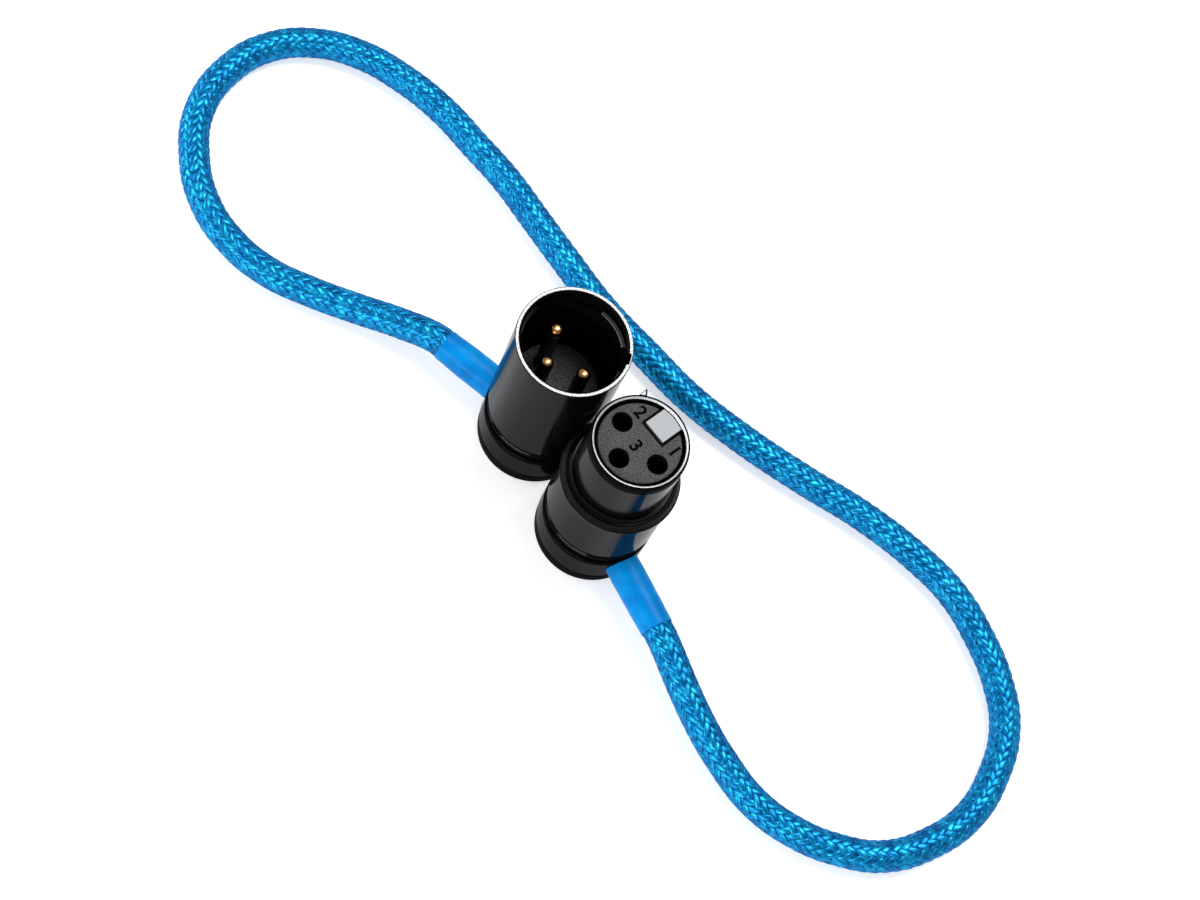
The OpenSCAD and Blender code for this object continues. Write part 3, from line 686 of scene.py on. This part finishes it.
class Path:
    # places along the cord's line by distance, with the directions across it
    def __init__(self, line):
        self.line = line
        self.marks = [0.0]
        for a, b in zip(line, line[1:]):
            self.marks.append(self.marks[-1] + (b - a).length)
        self.length = self.marks[-1]
        ahead = [(b - a).normalized() for a, b in zip(line, line[1:])]
        self.tangents = [ahead[0]]
        self.tangents += [(a + b).normalized() for a, b in zip(ahead, ahead[1:])]
        self.tangents.append(ahead[-1])
        self.index = 0

    def at(self, distance):
        # the search starts from the last place asked for, and stays short of the end
        distance = min(max(distance, 0.0), self.length - 1e-9)
        while self.marks[self.index] > distance:
            self.index -= 1
        while self.marks[self.index + 1] <= distance:
            self.index += 1
        i = self.index
        t = (distance - self.marks[i]) / (self.marks[i + 1] - self.marks[i])
        place = self.line[i].lerp(self.line[i + 1], t)
        tangent = self.tangents[i].lerp(self.tangents[i + 1], t).normalized()
        side = tangent.cross(Vector((0, 0, 1))).normalized()
        return place, side, side.cross(tangent)

    def around(self, distance, angle, radius):
        place, side, up = self.at(distance)
        return place + (side * math.cos(angle) + up * math.sin(angle)) * radius


def closeSkin(bm, holeSides=0):
    # merges the seams, fills holes of so many sides and turns the faces outwards
    bmesh.ops.remove_doubles(bm, verts=bm.verts, dist=weld)
    if holeSides:
        bmesh.ops.holes_fill(bm, edges=bm.edges, sides=holeSides)
    bmesh.ops.recalc_face_normals(bm, faces=bm.faces)


def meshObject(name, bm, *materials):
    mesh = bpy.data.meshes.new(name)
    bm.to_mesh(mesh)
    bm.free()
    for material in materials:
        mesh.materials.append(material)
    made = bpy.data.objects.new(name, mesh)
    scene.collection.objects.link(made)
    return made


def newPiece(name, bm, material, smooth=True):
    made = meshObject(name, bm, material)
    for face in made.data.polygons:
        face.use_smooth = smooth
    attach(made, rootBody)
    return made


def strandVertex(path, along, across, start, turn):
    # a point of a strand's skin: along is its own length, across goes round its section
    radius = cord["diameter"] / 2 - cord["strandHalfHeight"] - cord["weaveLift"]
    lean = math.atan2(2 * math.pi * radius, cord["pitch"])
    sideways = cord["strandHalfWidth"] * math.cos(across)
    angle = start + turn * 2 * math.pi * along / cord["pitch"]
    column = angle * cord["carriers"] / (2 * math.pi)
    wave = cord["weaveGain"] * math.cos(math.pi / 2 * (column - 0.5))
    height = cord["weaveLift"] * turn * max(-1.0, min(1.0, wave))
    height += cord["strandHalfHeight"] * math.sin(across)
    angle += turn * sideways * math.cos(lean) / radius
    return path.around(along - sideways * math.sin(lean), angle, radius + height)


def windStrands(name, path, turn, material):
    half = cord["carriers"] // 2
    crossings = path.length / cord["pitch"] * cord["carriers"]
    rings = int(crossings * cord["ringsPerCrossing"])
    bm = bmesh.new()
    bm.loops.layers.uv.new("UVMap")
    for k in range(half):
        made = bmesh.ops.create_grid(bm, x_segments=rings, y_segments=cord["sectionSides"],
                                     size=0.5, calc_uvs=True)
        start = 2 * math.pi * k / half
        for vert in made["verts"]:
            across = -2 * math.pi * (vert.co.y + 0.5)
            vert.co = strandVertex(path, (vert.co.x + 0.5) * path.length, across, start, turn)
    uv = bm.loops.layers.uv.active
    cordRadii = path.length / cord["diameter"] * 2
    for face in bm.faces:
        for loop in face.loops:
            loop[uv].uv.x *= cordRadii
    closeSkin(bm, cord["sectionSides"])
    strands = newPiece(name, bm, material)
    return strands


def layCore(path, material):
    # the jacket that shows dark between the strands
    radius = cord["diameter"] / 2 - cord["strandHalfHeight"] - 2 * cord["weaveLift"]
    bm = bmesh.new()
    made = bmesh.ops.create_grid(bm, x_segments=int(path.length / cord["coreRing"]),
                                 y_segments=cord["coreSides"], size=0.5)
    for vert in made["verts"]:
        angle = -2 * math.pi * (vert.co.y + 0.5)
        vert.co = path.around((vert.co.x + 0.5) * path.length, angle, radius)
    closeSkin(bm, cord["coreSides"])
    core = newPiece("cordCore", bm, material)
    return core


def layCord():
    path = Path(cordLine())
    strandMaterial = braidFinish("braidStrand")
    right = windStrands("braidRight", path, 1, strandMaterial)
    left = windStrands("braidLeft", path, -1, strandMaterial)
    core = layCore(path, plainFinish("coreBlue", rgb(0, 84, 140), 0.7))
    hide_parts("braided_cable")
    return path, right, left, core


cordPath, braidRight, braidLeft, cordCore = layCord()
print("cord laid:", round(cordPath.length / mm), "mm")

sleeve = {
    "inner": 7.0 * mm,        # from the connector's axis, inside the cap's wall
    "bore": 2.7 * mm,
    "grip": 0.05 * mm,        # the bore is this much tighter inside
    "gripFrom": 0.6 * mm,     # from here in
    "endTaper": 0.12 * mm,    # the tube has shrunk closer to the braid at its end
    "taperShare": 2.2,        # the taper takes 1 part in 2.2 of the length
    "lip": 0.12 * mm,
    "lipDrop": 0.03 * mm,
    "ripple": 0.03 * mm,
    "waves": (9.0, 21.0),     # the ripple's two waves, in radians over the length
    "stations": 26,
    "steps": 72,
}


def sleeveProfile(outlet):
    # (distance along, radius) points round the tube's wall, from its bore and back
    bore, lip = sleeve["bore"], sleeve["lip"]
    wide, tight = outlet["radius"], outlet["radius"] - sleeve["endTaper"]
    end = outlet["reach"]
    points = [(end - sleeve["gripFrom"], bore - sleeve["grip"]), (end - lip / 2, bore),
              (end, (bore + tight) / 2), (end - lip / 2, tight - sleeve["lipDrop"])]
    for i in range(sleeve["stations"] + 1):
        t = i / sleeve["stations"]
        x = end - lip * 2 - t * (end - lip * 2 - sleeve["inner"])
        ease = min(1.0, t * sleeve["taperShare"])
        slow, quick = sleeve["waves"]
        ripple = sleeve["ripple"] * math.sin(slow * t + 2 * outlet["away"].x) * math.sin(quick * t)
        taper = (wide - tight) * ease * ease * (3 - 2 * ease)
        points.append((x, tight + taper + ripple - sleeve["ripple"]))
    return points + [(sleeve["inner"], bore - sleeve["grip"]), points[0]]


def addSleeve(name, node, outlet, material):
    # the profile is turned about the outlet's line
    direction = Vector((outlet["away"].x, outlet["away"].y, 0)).normalized()
    centre = Vector((outlet["axis"].x, outlet["axis"].y, outlet["z"]))
    outward = Vector((0, 0, 1))
    bm = bmesh.new()
    verts = [bm.verts.new(centre + direction * x + outward * r) for x, r in sleeveProfile(outlet)]
    edges = [bm.edges.new(pair) for pair in zip(verts, verts[1:])]
    bmesh.ops.spin(bm, geom=verts + edges, cent=centre, axis=direction, angle=2 * math.pi,
                   steps=sleeve["steps"], use_merge=True)
    closeSkin(bm)
    made = newPiece(name, bm, material)
    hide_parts(node)
    return made


sleeveMaterial = sleeveFinish("heatShrinkBlue")
plugSleeve = addSleeve("plugSleeve", "male_sleeve", plugOutlet, sleeveMaterial)
jackSleeve = addSleeve("jackSleeve", "female_sleeve", jackOutlet, sleeveMaterial)
print("sleeves added")

outletPoint(plugOutlet, plugOutlet["reach"])

numerals = {
    "size": 3.08 * mm,           # of the font; a figure is 2.2 mm tall
    "depth": 0.28 * mm,
    "bolder": 0.09 * mm,
    "curveSteps": 4,
    # each number's place from the axis, along the key's direction and across it
    "places": {"1": (3.5, -4.2), "2": (3.3, 3.9), "3": (-0.9, 0.0)},
}


def numeralCutter(faceZ):
    # the three figures as solids that stand half in the face
    cutters = bmesh.new()
    key = Vector((math.cos(keyAngle), math.sin(keyAngle)))
    turn = Matrix.Rotation(keyAngle - math.pi / 2, 4, "Z")
    for text, (along, across) in numerals["places"].items():
        data = bpy.data.curves.new("numeral", "FONT")
        data.body = text
        data.size = numerals["size"]
        data.align_x = data.align_y = "CENTER"
        data.extrude = numerals["depth"]
        data.offset = numerals["bolder"]
        data.resolution_u = numerals["curveSteps"]
        letter = bpy.data.objects.new("numeral", data)
        scene.collection.objects.link(letter)
        bpy.context.view_layer.update()
        mesh = letter.to_mesh()
        flat = jackAxis + key * along * mm + Vector((-key.y, key.x)) * across * mm
        mesh.transform(Matrix.Translation((flat.x, flat.y, faceZ)) @ turn)
        cutters.from_mesh(mesh)
        letter.to_mesh_clear()
        bpy.data.objects.remove(letter)
        bpy.data.curves.remove(data)
    bmesh.ops.remove_doubles(cutters, verts=cutters.verts, dist=weld)
    return meshObject("numeralCutter", cutters)


def engraveNumbers():
    node = frame["nodes"]["female_insert"]
    cutter = numeralCutter(topOf("female_insert"))
    bm = bmesh.new()
    bm.from_mesh(node.data)
    bmesh.ops.remove_doubles(bm, verts=bm.verts, dist=weld)
    face = newPiece("socketFace", bm, node.data.materials[0], smooth=False)
    cut = face.modifiers.new("numbers", "BOOLEAN")
    cut.object = cutter
    cut.operation = "DIFFERENCE"
    cut.solver = "EXACT"
    bpy.context.view_layer.update()
    shaped = face.evaluated_get(bpy.context.evaluated_depsgraph_get())
    done = bpy.data.meshes.new_from_object(shaped)
    face.modifiers.clear()
    face.data = done
    face.data.name = "socketFace"
    bpy.data.objects.remove(cutter)
    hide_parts("female_insert")


engraveNumbers()
print("numbers engraved")

stage = {
    "floor": 1.6,
    "floorColour": (0.93, 0.93, 0.93, 1.0),
    "floorLift": 0.48,          # added where the floor is seen, so that it is white
    "floorFade": (0.3, 0.6),    # between these distances it rises to the backdrop's white
    "floorMirrored": 0.44,      # share of the lift that reflections show
    "backdrop": (1.0, 1.0, 1.0, 1.0),
    "ambient": 0.32,
    "mirrored": 0.25,           # share of the white backdrop that reflections show
    # place, width, height and power of each softbox
    "lamps": {
        "key": ((0.07, 0.26, 0.67), 0.34, 0.34, 3.6),
        "front": ((-0.1, -0.62, 0.28), 0.6, 0.06, 2.4),
        "left": ((-0.62, -0.06, 0.2), 0.6, 0.08, 2.0),
    },
}


def paperFinish(name):
    g = newMaterial(name, {"Roughness": 0.9, "Specular IOR Level": 0.0,
                           "Base Color": stage["floorColour"], "Emission Strength": 1.0})
    camera, mirror, glass = g.rays()
    lift = stage["floorLift"]
    far = g.step(g.radius(Vector((0, 0))), *stage["floorFade"])
    seen = (camera * (lift + (1 - lift) * far)).orElse(mirror * (stage["floorMirrored"] * lift))
    return g.finish({"Emission Color": seen.orElse(glass * lift)})


def addFloor():
    bm = bmesh.new()
    bmesh.ops.create_grid(bm, x_segments=1, y_segments=1, size=stage["floor"] / 2)
    floor = meshObject("floor", bm, paperFinish("whitePaper"))


def addWorld():
    # dim white light all round, and a white backdrop where it is seen
    scene.world = bpy.data.worlds.new("studio")
    g = Graph(scene.world, "Background", {"Color": stage["backdrop"],
                                          "Strength": stage["ambient"]})
    light = Value(g, g.shader.outputs[0])
    backdrop = g.node("ShaderNodeBackground", None, {"Color": stage["backdrop"], "Strength": 1.0})
    camera, mirror, glass = g.rays()
    seen = camera.orElse(mirror * stage["mirrored"] + glass)
    both = g.node("ShaderNodeMixShader", None, {0: seen, 1: light, 2: backdrop})
    g.fill(g.tree.nodes["World Output"], {"Surface": both})


def addLamp(name, place, width, height, power):
    data = bpy.data.lights.new(name, "AREA")
    data.shape = "RECTANGLE"
    data.size = width
    data.size_y = height
    data.energy = power
    lamp = bpy.data.objects.new(name, data)
    lamp.location = place
    lamp.rotation_euler = (-Vector(place)).to_track_quat("-Z", "Y").to_euler()
    scene.collection.objects.link(lamp)


addFloor()
addWorld()
for lampName, lampSettings in stage["lamps"].items():
    addLamp(lampName, *lampSettings)
scene.view_settings.view_transform = "Standard"
print("stage lit")
